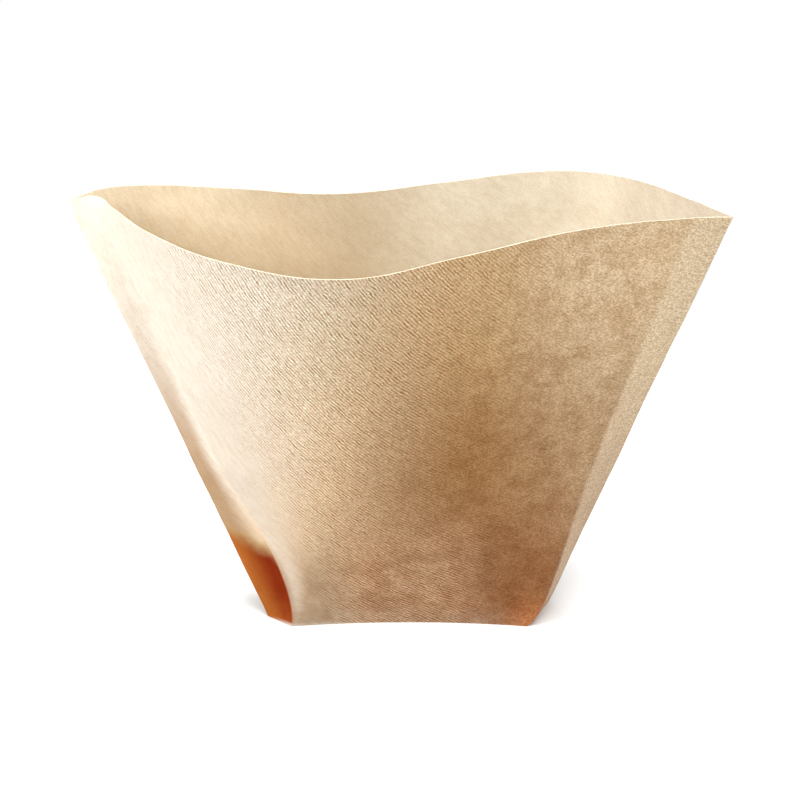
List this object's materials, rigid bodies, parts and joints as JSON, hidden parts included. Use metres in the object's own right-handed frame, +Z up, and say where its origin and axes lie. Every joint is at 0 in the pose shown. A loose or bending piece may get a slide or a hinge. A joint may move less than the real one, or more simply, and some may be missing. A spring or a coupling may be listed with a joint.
{
  "type": "paper coffee filter",
  "caption": "Folded filter bag of creped brown paper, opened and standing on its base, with crimped seams turned over at the back; holds ground coffee in a pour-over dripper.",
  "frame": {"origin": "middle of the base's underside, where the opened filter rests", "axes": "+Z up, out of the mouth; +X along the mouth, towards the folded right edge; +Y to the back, where the seams are turned over; the front faces -Y"},
  "size_m": [0.1497, 0.0575, 0.1104],
  "materials": {
    "creped_paper": "matt, creped"
  },
  "bodies": {
    "root": {"filter_paper": "creped_paper"}
  },
  "joints": []
}
